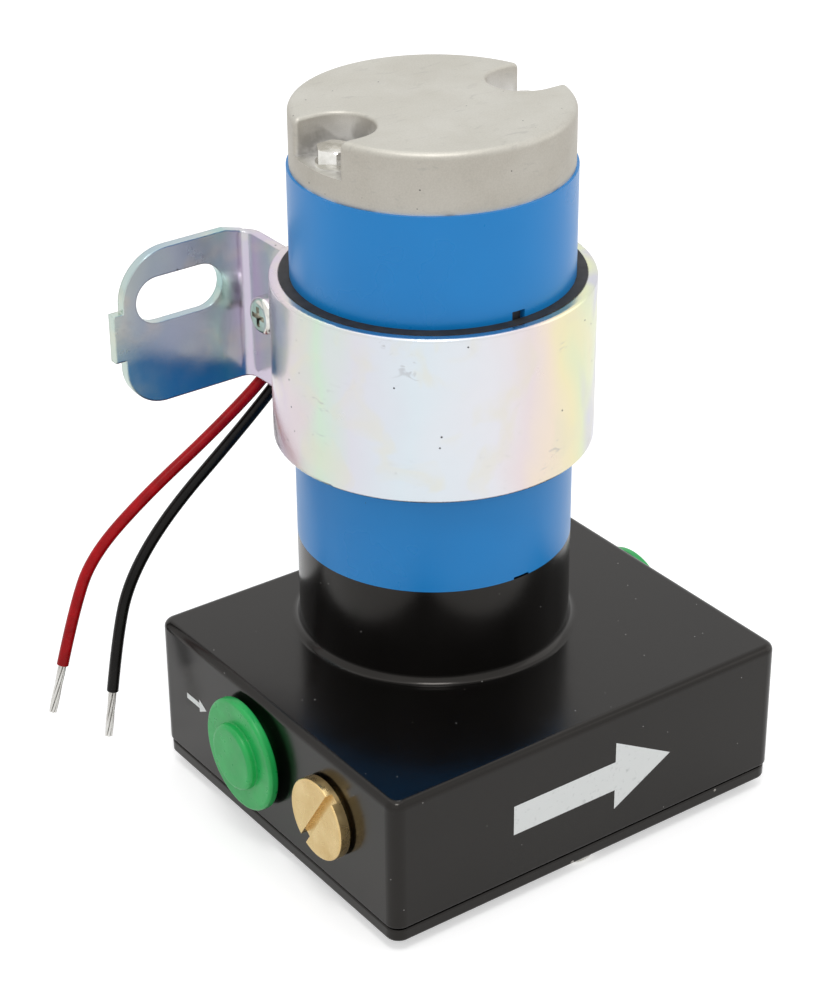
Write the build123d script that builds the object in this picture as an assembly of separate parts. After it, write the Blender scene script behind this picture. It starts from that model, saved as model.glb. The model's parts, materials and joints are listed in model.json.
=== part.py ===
from build123d import *
import math
import os

# Electric fuel pump: a gear-rotor pump block below, a motor can above it, and a clamp bracket on the can.
# Millimetres. The motor's axis is upright, at x = 0.
# The origin is on the bracket's rear face, halfway between its two slots.
# +X runs along the block from the inlet side to the outlet side, +Y points to the back, +Z up.

# Pump block
block_length = 107.2
block_depth = 93.4
block_height = 32.3
block_corner_r = 3.2
block_edge_r = 1.8
block_foot_edge_r = 0.5
block_offset_x = 0.7
block_offset_y = 11.3
plate_thickness = 3.2
plate_inset = 0.25
plate_edge_r = 0.8
plate_top_edge_r = 0.5
gasket_thickness = 0.5
gasket_inset = 1.3

# Cover screws
cover_screw_count = 6
cover_screw_circle_r = 40.0
cover_screw_r = 2.5
cover_screw_length = 12.0
cover_head_r = 4.7
cover_head_height = 2.8
cover_recess_r = 2.1
cover_recess_depth = 1.6
pan_dome_share = 0.55

# Motor can, collar and end cap
can_r = 31.0
can_wall = 1.5
can_length = 87.6
can_window_x = -0.7
can_window_width = 3.2
can_window_height = 6.0
can_window_up = 58.5
can_key_x = 1.1
can_key_width = 4.2
can_key_height = 0.5
collar_height = 23.5
collar_bore_r = 20.5
collar_boss_r = 14.0
collar_boss_rise = 1.2
collar_foot_r = 2.0
collar_floor = 3.0
spigot_height = 4.0
spigot_wall = 2.4
cap_step = 0.6
cap_height = 13.3
cap_edge_r = 1.5
cap_hub_r = 11.5
cap_hub_drop = 6.0
notch_width = 16.0
notch_reach_in = 16.0
notch_floor_down = 8.1
notch_edge_r = 0.8
can_seal_section = 1.6
can_seal_depth = 1.2
can_seal_up = 1.2

# Through bolts
bolt_circle_r = 24.7
bolt_r = 2.1
bolt_head_across = 7.2
bolt_head_height = 3.0
bolt_head_crown = 0.3
bolt_thread_depth = 14.0
lock_washer_r = 4.2
lock_washer_thickness = 0.7
lock_washer_split = 0.8

# Shaft and bearings
shaft_r = 4.0
shaft_chamfer = 0.5
shaft_foot_gap = 1.0
bearing_bore_r = 11.0
lower_bushing_length = 13.0
upper_bushing_r = 7.0
upper_bushing_length = 9.0
bushing_gap = 0.04
chamber_roof = 6.5
seal_length = 6.0
seal_wall = 2.0
seal_lip_wall = 1.5
seal_floor = 2.5
thrust_washer_r = 7.0
thrust_washer_thickness = 1.0

# Gear rotors
inner_teeth = 6
eccentricity = 1.9
lobe_circle_r = 17.5
lobe_r = 5.0
points_per_tooth = 16
valley_crowding = 0.2
outer_rotor_r = 22.0
rotor_height = 9.4
rotor_end_gap = 0.05
rotor_mesh_gap = 0.06
chamber_gap = 0.05
tip_gap = 0.15
kidney_inner_r = 11.0
kidney_outer_r = 17.0
kidney_half_angle = 58.0
kidney_depth = 6.0
drive_pin_r = 1.5
drive_pin_length = 15.0

# Ports and their shipping plugs
port_height = 20.4
port_offset_y = 8.0
port_mouth_r = 8.5
port_mouth_depth = 7.0
port_thread_r = 8.1
port_thread_length = 11.0
passage_r = 6.5
plug_flange_r = 13.25
plug_flange_thickness = 2.0
plug_flange_edge_r = 0.8
plug_disc_r = 7.8
plug_disc_height = 2.0
plug_disc_edge_r = 1.0
plug_stem_r = port_mouth_r
plug_stem_length = 6.0
plug_stem_taper = 0.25
plug_wall = 1.4
plug_stand_off = 1.7  # the plugs are not pushed right home

# Relief valve
relief_offset_y = -22.4
relief_bore_r = 6.0
relief_cap_r = 9.4
relief_cap_height = 3.4
relief_cap_gap = 0.8  # between the head and the block's face
relief_cap_edge_r = 0.4
relief_shank_r = 7.5
relief_shank_length = 9.0
relief_slot_width = 2.2
relief_slot_depth = 1.7
relief_slot_angle = -57.0
relief_seat_depth = 36.0
relief_seat_r = 3.5
plunger_length = 14.0
plunger_gap = 0.05
plunger_wall = 1.5
plunger_floor = 2.5
plunger_nose_r = 4.0
relief_coil_wire_r = 0.6
relief_coil_r = 3.6
relief_coil_turns = 7
bypass_r = 3.0
bypass_depth = 31.0
seal_ring_r = 0.9

# Armature and magnets
core_r = 21.9
core_length = 42.0
core_start = 10.5
slot_count = 12
slot_root_r = 13.0
slot_half_width = 2.3
slot_mouth_half_width = 0.9
slot_mouth_depth = 2.2
winding_outer_r = 19.6
winding_inner_r = 7.5
winding_overhang = 5.5
winding_edge_r = 2.2
commutator_r = 11.0
commutator_length = 13.0
commutator_end_gap = 0.6
commutator_slit = 0.5
commutator_slit_depth = 1.5
magnet_inner_r = 22.9
magnet_gap = 1.0
magnet_start = 6.5
magnet_span = 130.0

# Brush gear
brush_plate_thickness = 2.0
brush_plate_gap = 0.5
brush_width = 6.4
brush_height = 9.0
brush_length = 9.5
brush_gap = 0.1
brush_face_cut = 1.0
brush_spring_length = 6.0
brush_coil_wire_r = 0.3
brush_coil_r = 2.2
brush_coil_turns = 6
holder_wall = 1.0
holder_start_r = 12.6

# Clamp bracket
sheet_thickness = 2.2
band_height = 38.2
band_start_up = 24.4
band_edge_r = 0.7
band_trim = 2.1
ear_top_drop = 0.6
liner_thickness = 2.4
liner_rise = 0.1
ear_half_gap = 20.1
ear_bend_r = 2.6
neck_bend_r = 0.8
bracket_stand_off = 14.6
foot_end_margin = 3.4
foot_rise = 0.9
foot_rise_run = 5.4
foot_top_corner_r = 12.0
foot_low_corner_r = 10.0
foot_tab_out = 2.5
foot_tab_low = 14.5
foot_tab_height = 11.4
slot_spacing = 76.2
slot_width = 11.0
slot_length = 22.2
slot_up = 27.1
clamp_screw_clear = 1.6
clamp_screw_up = 20.3
clamp_screw_r = 2.4
clamp_head_r = 4.5
clamp_head_height = 3.0
clamp_recess_r = 2.4
clamp_recess_depth = 1.8
clamp_nut_across = 8.7
clamp_nut_height = 4.0
clamp_screw_tail = 2.0

# Leads
lead_r = 1.4
strand_r = 0.95
strand_length = 12.0
lead_spacing = 4.4
grommet_up = 75.5
grommet_flange_r = 5.6
grommet_flange_thickness = 1.8
grommet_neck_r = 4.3
grommet_inner_thickness = 1.2
grommet_edge_r = 0.6

# Clearances
fit_gap = 0.02
thread_gap = 0.05
cover_gap = 0.3

# Levels, from the cover plate upwards, with the slots at z = 0
plate_z = -(plate_thickness + gasket_thickness + block_height + collar_height + band_start_up + slot_up)
gasket_z = plate_z + plate_thickness
body_z = gasket_z + gasket_thickness
deck_z = body_z + block_height
collar_z = deck_z + collar_height
can_top_z = collar_z + can_length
cap_top_z = can_top_z + cap_height
notch_floor_z = cap_top_z - notch_floor_down
chamber_top_z = gasket_z + rotor_height + 2 * rotor_end_gap
port_z = plate_z + port_height
band_z = collar_z + band_start_up
band_top_z = band_z + band_height
commutator_top_up = can_length - cap_hub_drop - thrust_washer_thickness - commutator_end_gap
brush_up = commutator_top_up - commutator_length / 2
magnet_length = brush_up - brush_height / 2 - holder_wall - magnet_gap - magnet_start

# Places in plan
bracket_reach = can_r + bracket_stand_off
axis_y = -bracket_reach
block_x = block_offset_x
block_y = axis_y - block_offset_y
inlet_x = block_x - block_length / 2
port_y = block_y + port_offset_y
relief_y = block_y + relief_offset_y
ring_y = axis_y - eccentricity
can_inner_r = can_r - can_wall
cap_r = can_r - cap_step
foot_half_span = (slot_spacing + slot_length) / 2 + foot_end_margin
clamp_screw_y = axis_y + can_r + clamp_screw_clear + clamp_screw_r
spigot_r = can_inner_r - fit_gap
outer_teeth = inner_teeth + 1
lead_exit_z = collar_z + grommet_up
lead_exit_y = axis_y + can_r + grommet_flange_thickness


def disc(r, z, height, x=0.0, y=axis_y):
    """An upright cylinder standing on the level z."""
    return Pos(x, y, z + height / 2) * Cylinder(r, height)


def ring(outer, inner, z, height, x=0.0, y=axis_y):
    """An upright tube standing on the level z."""
    return disc(outer, z, height, x, y) - disc(inner, z - 1, height + 2, x, y)


def rod_x(r, x0, x1, y, z):
    """A cylinder along X between two stations."""
    return Pos((x0 + x1) / 2, y, z) * Rot(0, 90, 0) * Cylinder(r, abs(x1 - x0))


def rod_y(r, y0, y1, x, z):
    """A cylinder along Y between two stations."""
    return Pos(x, (y0 + y1) / 2, z) * Rot(90, 0, 0) * Cylinder(r, abs(y1 - y0))


def slab(x0, x1, y0, y1, z0, z1):
    """A box between six planes."""
    return Pos((x0 + x1) / 2, (y0 + y1) / 2, (z0 + z1) / 2) * Box(x1 - x0, y1 - y0, z1 - z0)


def across(middle, width):
    """The two ends of a width about its middle."""
    return middle - width / 2, middle + width / 2


def rounded_slab(length, depth, corner_r, z, height):
    """The block's plan outline with rounded corners, raised by a height."""
    outline = Pos(block_x, block_y, z) * RectangleRounded(length, depth, corner_r)
    return extrude(outline, height)


def cover_screw_places():
    """Plan positions of the cover screws, the first at the front."""
    places = []
    for i in range(cover_screw_count):
        turn = math.radians(270 + 360 * i / cover_screw_count)
        x = block_x + cover_screw_circle_r * math.cos(turn)
        y = block_y + cover_screw_circle_r * math.sin(turn)
        places.append((x, y))
    return places


def at_each(places, shape):
    """Copies of a shape at plan positions, as one list."""
    return [Pos(x, y, 0) * shape for x, y in places]


def lobe_path(turn):
    """Where the centre of an outer lobe runs, seen from the inner rotor, and the way out from it there."""
    m = outer_teeth
    x = lobe_circle_r * math.cos(turn) + eccentricity * math.cos(m * turn)
    y = lobe_circle_r * math.sin(turn) + eccentricity * math.sin(m * turn)
    nx = lobe_circle_r * math.cos(turn) + m * eccentricity * math.cos(m * turn)
    ny = lobe_circle_r * math.sin(turn) + m * eccentricity * math.sin(m * turn)
    size = math.hypot(nx, ny)
    return x, y, nx / size, ny / size


def inner_rotor_outline():
    """The trochoid that the outer lobes roll on, drawn in by the lobe's radius and the mesh gap."""
    draw_in = lobe_r + rotor_mesh_gap
    points = []
    for tooth in range(inner_teeth):
        valley = 2 * math.pi * (tooth + 0.5) / inner_teeth
        for i in range(points_per_tooth):
            # Steps shorten towards the valley, where the outline turns fastest.
            u = 2 * i / points_per_tooth - 1
            turn = valley + math.pi / inner_teeth * u * (valley_crowding + (1 - valley_crowding) * u * u)
            x, y, nx, ny = lobe_path(turn)
            points.append((x - draw_in * nx, y - draw_in * ny))
    return Spline(*points, periodic=True)


def inner_rotor():
    """Six-tooth rotor on the shaft, with a slot across its top for the drive pin."""
    outline = make_face(inner_rotor_outline())
    # The meshing lobe points along -Y, where the outer ring's centre lies.
    blank = Rot(0, 0, -90) * extrude(outline, rotor_height)
    body = Pos(0, axis_y, gasket_z + rotor_end_gap) * blank
    body -= disc(shaft_r + fit_gap, gasket_z - 1, rotor_height + 2)
    pin_half = drive_pin_r + fit_gap
    slot_z = drive_pin_z()
    top = gasket_z + rotor_end_gap + rotor_height
    half_length = drive_pin_length / 2 + fit_gap
    body -= slab(-half_length, half_length, axis_y - pin_half, axis_y + pin_half, slot_z, top + 1)
    body -= rod_x(pin_half, -half_length, half_length, axis_y, slot_z)
    return body


def drive_pin_z():
    """Level of the drive pin's axis, sunk below the rotor's top face."""
    return gasket_z + rotor_end_gap + rotor_height - drive_pin_r - cover_gap


def drive_pin():
    """Cross pin through the shaft that turns the inner rotor."""
    half = drive_pin_length / 2
    return rod_x(drive_pin_r, -half, half, axis_y, drive_pin_z())


def outer_rotor():
    """Seven-lobe ring round the inner rotor."""
    # The inner rotor's tips sweep past the roots with the tip gap between them.
    root_r = lobe_circle_r + 2 * eccentricity - lobe_r + tip_gap
    opening = Circle(root_r)
    for i in range(outer_teeth):
        lobe = Pos(lobe_circle_r, 0) * Circle(lobe_r)
        opening -= Rot(0, 0, 360 * i / outer_teeth) * lobe
    face = Circle(outer_rotor_r) - opening
    blank = Rot(0, 0, -90) * extrude(face, rotor_height)
    return Pos(0, ring_y, gasket_z + rotor_end_gap) * blank


def chamber():
    """The round hollow the rotors run in."""
    return disc(outer_rotor_r + chamber_gap, gasket_z - 1, chamber_top_z - gasket_z + 1, 0, ring_y)


def kidney(side):
    """A curved hollow over the rotors, on the inlet side (-1) or the outlet side (1)."""
    band = ring(kidney_outer_r, kidney_inner_r, chamber_top_z - 1, kidney_depth + 1)
    reach = 2 * kidney_outer_r
    rise = reach * math.tan(math.radians(kidney_half_angle))
    wedge = make_face(Polyline((0, 0), (side * reach, -rise), (side * reach, rise), (0, 0)))
    wedge = extrude(Pos(0, axis_y, chamber_top_z - 1) * wedge, kidney_depth + 1)
    return band & wedge


def port_hollow(side):
    """The plug's mouth, the threaded stretch and the passage behind it, from one end of the block."""
    face_x = block_x + side * block_length / 2
    thread_x = face_x - side * port_mouth_depth
    end_x = thread_x - side * port_thread_length
    kidney_x = side * (kidney_inner_r + kidney_outer_r) / 2
    hollow = rod_x(port_mouth_r, face_x + side, thread_x, port_y, port_z)
    hollow += rod_x(port_thread_r, thread_x + side, end_x, port_y, port_z)
    hollow += rod_x(passage_r, end_x + side, kidney_x, port_y, port_z)
    return hollow


def relief_hollow():
    """The relief valve's bore, its way to the outlet and its way back to the inlet."""
    shank_x = inlet_x + relief_shank_length + cover_gap
    seat_x = inlet_x + relief_seat_depth
    outlet_side_x = (kidney_inner_r + kidney_outer_r) / 2
    bypass_x = inlet_x + bypass_depth
    hollow = rod_x(relief_shank_r + thread_gap, inlet_x - 1, shank_x, relief_y, port_z)
    hollow += rod_x(relief_bore_r, shank_x - 1, seat_x, relief_y, port_z)
    hollow += rod_x(relief_seat_r, seat_x - 1, outlet_side_x + relief_seat_r, relief_y, port_z)
    hollow += rod_y(relief_seat_r, relief_y, port_y, outlet_side_x, port_z)
    hollow += rod_y(bypass_r, relief_y, port_y, bypass_x, port_z)
    return hollow


def pump_body():
    """The block, with the rotor chamber, the ports, the relief valve's bore and the shaft seal's pocket."""
    body = rounded_slab(block_length, block_depth, block_corner_r, body_z, block_height)
    body = fillet(body.edges().group_by(Axis.Z)[-1], block_edge_r)
    body = fillet(body.edges().group_by(Axis.Z)[0], block_foot_edge_r)
    body -= disc(bearing_bore_r + fit_gap, seal_pocket_z(), deck_z - seal_pocket_z() + 1)
    body -= disc(shaft_r + bushing_gap, chamber_top_z - 1, chamber_roof + 2)
    body -= chamber()
    for side in (-1, 1):
        body -= kidney(side)
        body -= port_hollow(side)
    body -= relief_hollow()
    depth = cover_hole_depth()
    hole = Pos(0, 0, body_z + depth / 2) * Cylinder(cover_screw_r + thread_gap, depth)
    for tool in at_each(cover_screw_places(), hole):
        body -= tool
    return body


def motor_collar():
    """Round collar on the block, with a spigot for the can and a boss for the shaft's lower bearing."""
    body = disc(can_r + 2 * collar_foot_r, deck_z - 1, 1) + disc(can_r, deck_z, collar_height)
    crease = body.edges().filter_by(GeomType.CIRCLE).filter_by(
        lambda e: abs(e.radius - can_r) < 0.01 and abs(e.center().Z - deck_z) < 0.01)
    body = fillet(crease, collar_foot_r)
    body -= disc(2 * can_r, deck_z - 2, 2)
    body += disc(spigot_r, collar_z, spigot_height)
    body -= seal_groove()
    # A boss in the collar's hollow holds the bushing at the top of its bore.
    body -= ring(collar_bore_r, collar_boss_r, deck_z + collar_floor, collar_height + spigot_height + 1)
    body -= disc(collar_bore_r, boss_top_z(), collar_height)
    body -= disc(bearing_bore_r + fit_gap, deck_z - 1, boss_top_z() - deck_z + 2)
    for side in (-1, 1):
        hole_z = collar_z - bolt_thread_depth
        body -= disc(bolt_r + thread_gap, hole_z, bolt_thread_depth + spigot_height + 1, side * bolt_circle_r)
    return body


def cover_hole_depth():
    """How deep the cover screws' holes go into the block."""
    return cover_screw_length - plate_thickness - gasket_thickness + 1


def seal_pocket_z():
    """Floor of the bore in the boss, over the chamber's roof."""
    return chamber_top_z + chamber_roof


def boss_top_z():
    """Top face of the boss, level with the lower bushing."""
    return collar_z + collar_boss_rise


def seal_groove():
    """Groove in the spigot for the can's seal."""
    z = collar_z + can_seal_up - fit_gap
    return ring(can_inner_r + 1, spigot_r - can_seal_depth, z, can_seal_section + 2 * fit_gap)


def cover_plate():
    """Flat plate that closes the rotor chamber from below."""
    length = block_length - 2 * plate_inset
    depth = block_depth - 2 * plate_inset
    plate = rounded_slab(length, depth, block_corner_r, plate_z, plate_thickness)
    plate = fillet(plate.edges().group_by(Axis.Z)[0], plate_edge_r)
    plate = fillet(plate.edges().group_by(Axis.Z)[-1], plate_top_edge_r)
    hole_r = cover_screw_r + thread_gap
    hole = Pos(0, 0, plate_z + plate_thickness / 2) * Cylinder(hole_r, plate_thickness + 2)
    for tool in at_each(cover_screw_places(), hole):
        plate -= tool
    return plate


def cover_gasket():
    """Thin gasket between plate and block, open round the rotors."""
    length = block_length - 2 * gasket_inset
    depth = block_depth - 2 * gasket_inset
    sheet = rounded_slab(length, depth, block_corner_r, gasket_z, gasket_thickness)
    sheet -= chamber()
    hole = Pos(0, 0, gasket_z) * Cylinder(cover_screw_r + thread_gap, 4 * gasket_thickness)
    for tool in at_each(cover_screw_places(), hole):
        sheet -= tool
    return sheet


def cross_recess(r, depth):
    """A cross-shaped driver recess cut down from the level z = 0."""
    width = r / 2
    bar = Box(2 * r, width, 2 * depth)
    return bar + Rot(0, 0, 90) * bar


def pan_screw(head_r, head_height, shank_r, length, recess_r, recess_depth):
    """A pan-head screw, its head above z = 0 and its shank below."""
    dome_r = head_height * pan_dome_share
    head = Pos(0, 0, head_height / 2) * Cylinder(head_r, head_height)
    head = fillet(head.edges().group_by(Axis.Z)[-1], dome_r)
    head -= Pos(0, 0, head_height) * cross_recess(recess_r, recess_depth)
    return head + Pos(0, 0, -length / 2) * Cylinder(shank_r, length)


def cover_screws():
    """The six screws under the cover plate; the pump stands on their heads."""
    screw = pan_screw(
        cover_head_r, cover_head_height, cover_screw_r, cover_screw_length,
        cover_recess_r, cover_recess_depth)
    screw = Pos(0, 0, plate_z) * Rot(180, 0, 0) * screw
    return Compound(at_each(cover_screw_places(), screw))


def shipping_plug(side):
    """A push-in port plug: flange, raised round centre and a hollow tapered stem."""
    stem_end = plug_stem_r - plug_stem_taper
    bore_r = plug_stem_r - plug_wall
    outer = Cylinder(plug_flange_r, plug_flange_thickness)
    outer = Pos(0, 0, plug_flange_thickness / 2) * outer
    outer = fillet(outer.edges().group_by(Axis.Z)[-1], plug_flange_edge_r)
    raised = Cylinder(plug_disc_r, plug_disc_height)
    raised = Pos(0, 0, plug_flange_thickness + plug_disc_height / 2) * raised
    raised = fillet(raised.edges().group_by(Axis.Z)[-1], plug_disc_edge_r)
    stem = Pos(0, 0, -plug_stem_length / 2) * Cone(stem_end, plug_stem_r, plug_stem_length)
    plug = outer + raised + stem
    plug -= Pos(0, 0, (plug_flange_thickness - plug_stem_length) / 2) * Cylinder(
        bore_r, plug_stem_length + plug_flange_thickness)
    flange_x = block_x + side * (block_length / 2 + plug_stand_off)
    return Pos(flange_x, port_y, port_z) * Rot(0, side * 90, 0) * plug


def relief_cap():
    """Slotted cap that closes the relief bore and carries its spring."""
    under_head_x = inlet_x - relief_cap_gap
    cap = rod_x(relief_cap_r, inlet_x - relief_cap_height, under_head_x, relief_y, port_z)
    outer_rim = cap.edges().sort_by(Axis.X)[0]
    cap = fillet(outer_rim, relief_cap_edge_r)
    slot = Box(2 * relief_slot_depth, 3 * relief_cap_r, relief_slot_width)
    slot = Rot(relief_slot_angle, 0, 0) * slot
    cap -= Pos(inlet_x - relief_cap_height, relief_y, port_z) * slot
    shank = rod_x(relief_shank_r, under_head_x, inlet_x + relief_shank_length, relief_y, port_z)
    groove_x = inlet_x + 2 * seal_ring_r
    groove = rod_x(relief_shank_r + 1, groove_x - seal_ring_r, groove_x + seal_ring_r, relief_y, port_z)
    groove -= rod_x(relief_shank_r - 2 * seal_ring_r, groove_x - 2, groove_x + 2, relief_y, port_z)
    pocket_r = relief_coil_r + relief_coil_wire_r + cover_gap
    pocket = rod_x(pocket_r, spring_pocket_x(), inlet_x + relief_shank_length + 1, relief_y, port_z)
    return cap + (shank - groove) - pocket


def spring_pocket_x():
    """Bottom of the spring pocket in the relief cap."""
    return inlet_x + relief_shank_length / 2


def relief_cap_seal():
    """Rubber ring in the cap's groove."""
    ring_shape = Torus(relief_shank_r - seal_ring_r, seal_ring_r - fit_gap)
    return Pos(inlet_x + 2 * seal_ring_r, relief_y, port_z) * Rot(0, 90, 0) * ring_shape


def relief_plunger():
    """Hollow piston that covers the way back to the inlet until pressure lifts it."""
    seat_x = inlet_x + relief_seat_depth
    back_x = seat_x - plunger_length
    r = relief_bore_r - plunger_gap
    body = rod_x(r, back_x, seat_x, relief_y, port_z)
    body = chamfer(body.edges().sort_by(Axis.X)[-1], r - plunger_nose_r)
    body -= rod_x(r - plunger_wall, back_x - 1, seat_x - plunger_floor, relief_y, port_z)
    return body


def coil(wire_r, coil_r, turns, length):
    """A helical spring along +Z from z = 0, of round wire."""
    pitch = (length - 2 * wire_r) / turns
    path = Helix(pitch, pitch * turns, coil_r)
    section = Plane(origin=path @ 0, z_dir=path % 0) * Circle(wire_r)
    return Pos(0, 0, wire_r) * sweep(section, path=path)


def relief_spring():
    """Spring between the cap's pocket and the plunger's floor."""
    start = spring_pocket_x() + fit_gap
    end = inlet_x + relief_seat_depth - plunger_floor - fit_gap
    spring = coil(relief_coil_wire_r, relief_coil_r, relief_coil_turns, end - start)
    return Pos(start, relief_y, port_z) * Rot(0, 90, 0) * spring


def lower_bushing():
    """Bearing pressed into the top of the boss, under the armature."""
    z = boss_top_z() - lower_bushing_length
    return ring(bearing_bore_r, shaft_r + bushing_gap, z, lower_bushing_length)


def shaft_seal():
    """Lip seal on the floor of the boss's bore, which keeps fuel out of the motor."""
    z = seal_pocket_z() + fit_gap
    body = ring(bearing_bore_r, shaft_r + bushing_gap, z, seal_length)
    return body - ring(bearing_bore_r - seal_wall, shaft_r + seal_lip_wall, z + seal_floor, seal_length)


def upper_bushing():
    """Bearing in the end cap's hub."""
    return ring(upper_bushing_r, shaft_r + bushing_gap, upper_bushing_z(), upper_bushing_length)


def upper_bushing_z():
    """Lower face of the bushing in the end cap."""
    return can_top_z - cap_hub_drop + cover_gap


def armature_shaft():
    """The motor's shaft, from the inner rotor to the end cap."""
    start = gasket_z + shaft_foot_gap
    end = upper_bushing_z() + upper_bushing_length + cover_gap
    shaft = disc(shaft_r, start, end - start)
    shaft = chamfer(shaft.edges().group_by(Axis.Z)[-1], shaft_chamfer)
    return shaft - rod_x(drive_pin_r + fit_gap, -2 * shaft_r, 2 * shaft_r, axis_y, drive_pin_z())


def core_z():
    """Lower face of the armature's stack."""
    return collar_z + core_start


def winding_slot():
    """Plan outline of one slot in the stack: a wide root and a narrow mouth."""
    mouth_r = core_r - slot_mouth_depth
    root = Pos((slot_root_r + mouth_r) / 2, 0) * Rectangle(mouth_r - slot_root_r, 2 * slot_half_width)
    mouth = Pos(core_r, 0) * Rectangle(4 * slot_mouth_depth, 2 * slot_mouth_half_width)
    return root + mouth


def armature_core():
    """Laminated stack with a slot for each coil side."""
    face = Circle(core_r) - Circle(shaft_r + fit_gap)
    for i in range(slot_count):
        face -= Rot(0, 0, 360 * (i + 0.5) / slot_count) * winding_slot()
    return Pos(0, axis_y, core_z()) * extrude(face, core_length)


def armature_windings():
    """Coil sides in the slots and the rounded end turns above and below the stack."""
    mouth_r = core_r - slot_mouth_depth
    side_length = mouth_r - slot_root_r - 4 * fit_gap
    side_width = 2 * (slot_half_width - 2 * fit_gap)
    bars = Sketch()
    for i in range(slot_count):
        bar = Pos((slot_root_r + mouth_r) / 2, 0) * Rectangle(side_length, side_width)
        bars += Rot(0, 0, 360 * (i + 0.5) / slot_count) * bar
    body = Pos(0, axis_y, core_z() - fit_gap) * extrude(bars, core_length + 2 * fit_gap)
    for z in (core_z() - fit_gap - winding_overhang, core_z() + core_length + fit_gap):
        turns = ring(winding_outer_r, winding_inner_r, z, winding_overhang)
        far_edges = turns.edges().group_by(Axis.Z)[0 if z < core_z() else -1]
        body += fillet(far_edges, winding_edge_r)
    return body


def commutator():
    """Copper segments round an insulating core, parted by slits."""
    z = collar_z + commutator_top_up - commutator_length
    body = ring(commutator_r, shaft_r + fit_gap, z, commutator_length)
    for i in range(slot_count):
        slit = Box(2 * commutator_slit_depth, commutator_slit, commutator_length + 2)
        slit = Rot(0, 0, 360 * i / slot_count) * Pos(commutator_r, 0, 0) * slit
        slit = Pos(0, axis_y, z + commutator_length / 2) * slit
        body -= slit
    return body


def thrust_washer(level):
    """A washer on the shaft over the lower bushing (level 0) or under the end cap's hub (level 1)."""
    low = boss_top_z() + cover_gap
    high = upper_bushing_z() - cover_gap - thrust_washer_thickness - cover_gap
    z = high if level else low
    return ring(thrust_washer_r, shaft_r + fit_gap, z, thrust_washer_thickness)


def magnet(side):
    """A curved magnet on the can's inner wall, in front of the armature (-1) or behind it (1)."""
    z = collar_z + magnet_start
    shell = ring(can_inner_r - fit_gap, magnet_inner_r, z, magnet_length)
    reach = 2 * can_r
    half = math.radians(magnet_span / 2)
    far_x = reach * math.sin(half)
    far_y = side * reach * math.cos(half)
    far = side * reach
    outline = Polyline((0, 0), (far_x, far_y), (far_x, far), (-far_x, far), (-far_x, far_y), (0, 0))
    wedge = extrude(Pos(0, axis_y, z) * make_face(outline), magnet_length)
    return shell & wedge


def motor_can():
    """Steel tube over the motor, with a key notch and a window at its front and a hole for the leads."""
    can = ring(can_r, can_inner_r, collar_z + fit_gap, can_length - 2 * fit_gap)
    front = axis_y - can_r - 1
    behind = axis_y - can_inner_r + 2
    low = collar_z + can_window_up
    can -= slab(*across(can_window_x, can_window_width), front, behind, low, low + can_window_height)
    can -= slab(*across(can_key_x, can_key_width), front, behind, collar_z - 1, collar_z + can_key_height)
    can -= rod_y(grommet_neck_r + fit_gap, axis_y + can_inner_r - 2, axis_y + can_r + 1, 0, lead_exit_z)
    return can


def can_seal():
    """Rubber ring round the spigot, inside the can's lower end."""
    inner_r = spigot_r - can_seal_depth + fit_gap
    return ring(can_inner_r - fit_gap, inner_r, collar_z + can_seal_up, can_seal_section)


def notch(side):
    """Round-ended notch in the cap's rim over one through bolt, cut down to its floor."""
    half = notch_width / 2
    centre_x = notch_reach_in + half
    outline = Pos(centre_x, 0) * Circle(half)
    outline += Pos(centre_x + cap_r / 2, 0) * Rectangle(cap_r, notch_width)
    tool = extrude(outline, notch_floor_down + 1)
    turn = 0 if side > 0 else 180
    return Pos(0, axis_y, notch_floor_z) * Rot(0, 0, turn) * tool


def end_cap():
    """Cast cap with a bearing hub, a spigot into the can and two notches for the bolt heads."""
    cap = disc(cap_r, can_top_z, cap_height)
    cap = fillet(cap.edges().group_by(Axis.Z)[-1], cap_edge_r)
    for side in (-1, 1):
        cap -= notch(side)
    rim_r = cap_r - cap_edge_r
    top_edges = cap.edges().group_by(Axis.Z)[-1]
    on_rim = lambda e: e.geom_type == GeomType.CIRCLE and e.radius > rim_r - fit_gap
    cap = fillet([e for e in top_edges if not on_rim(e)], notch_edge_r)
    cap += ring(spigot_r, spigot_r - spigot_wall, can_top_z - spigot_height, spigot_height)
    cap += disc(cap_hub_r, can_top_z - cap_hub_drop, cap_hub_drop)
    bore_top = upper_bushing_z() + upper_bushing_length
    hub_z = can_top_z - cap_hub_drop
    cap -= disc(upper_bushing_r + fit_gap, hub_z - 1, bore_top - hub_z + 1)
    cap -= disc(shaft_r + cover_gap, bore_top - 1, 1 + 2 * cover_gap)
    for side in (-1, 1):
        cap -= disc(bolt_r + thread_gap, can_top_z - spigot_height - 1, cap_height, side * bolt_circle_r)
    return cap


def through_bolts():
    """Two long hex bolts from the end cap's notches down into the collar."""
    seat_z = notch_floor_z + lock_washer_thickness
    tip_z = collar_z - bolt_thread_depth + 1
    head = extrude(RegularPolygon(bolt_head_across / 2, 6, major_radius=False), bolt_head_height)
    # A steep cone takes the corners off the head's top face.
    crown_r = bolt_head_across / 2 + bolt_head_crown
    head &= Pos(0, 0, bolt_head_height / 2) * Cone(crown_r + bolt_head_height, crown_r, bolt_head_height)
    bolts = []
    for side in (-1, 1):
        place = Pos(side * bolt_circle_r, axis_y, seat_z)
        bolts.append(place * head + disc(bolt_r, tip_z, seat_z - tip_z, side * bolt_circle_r))
    return Compound(bolts)


def washer_split():
    """The cut through a lock washer's rim."""
    return Box(lock_washer_split, 2 * lock_washer_r, 4 * lock_washer_thickness)


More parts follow.
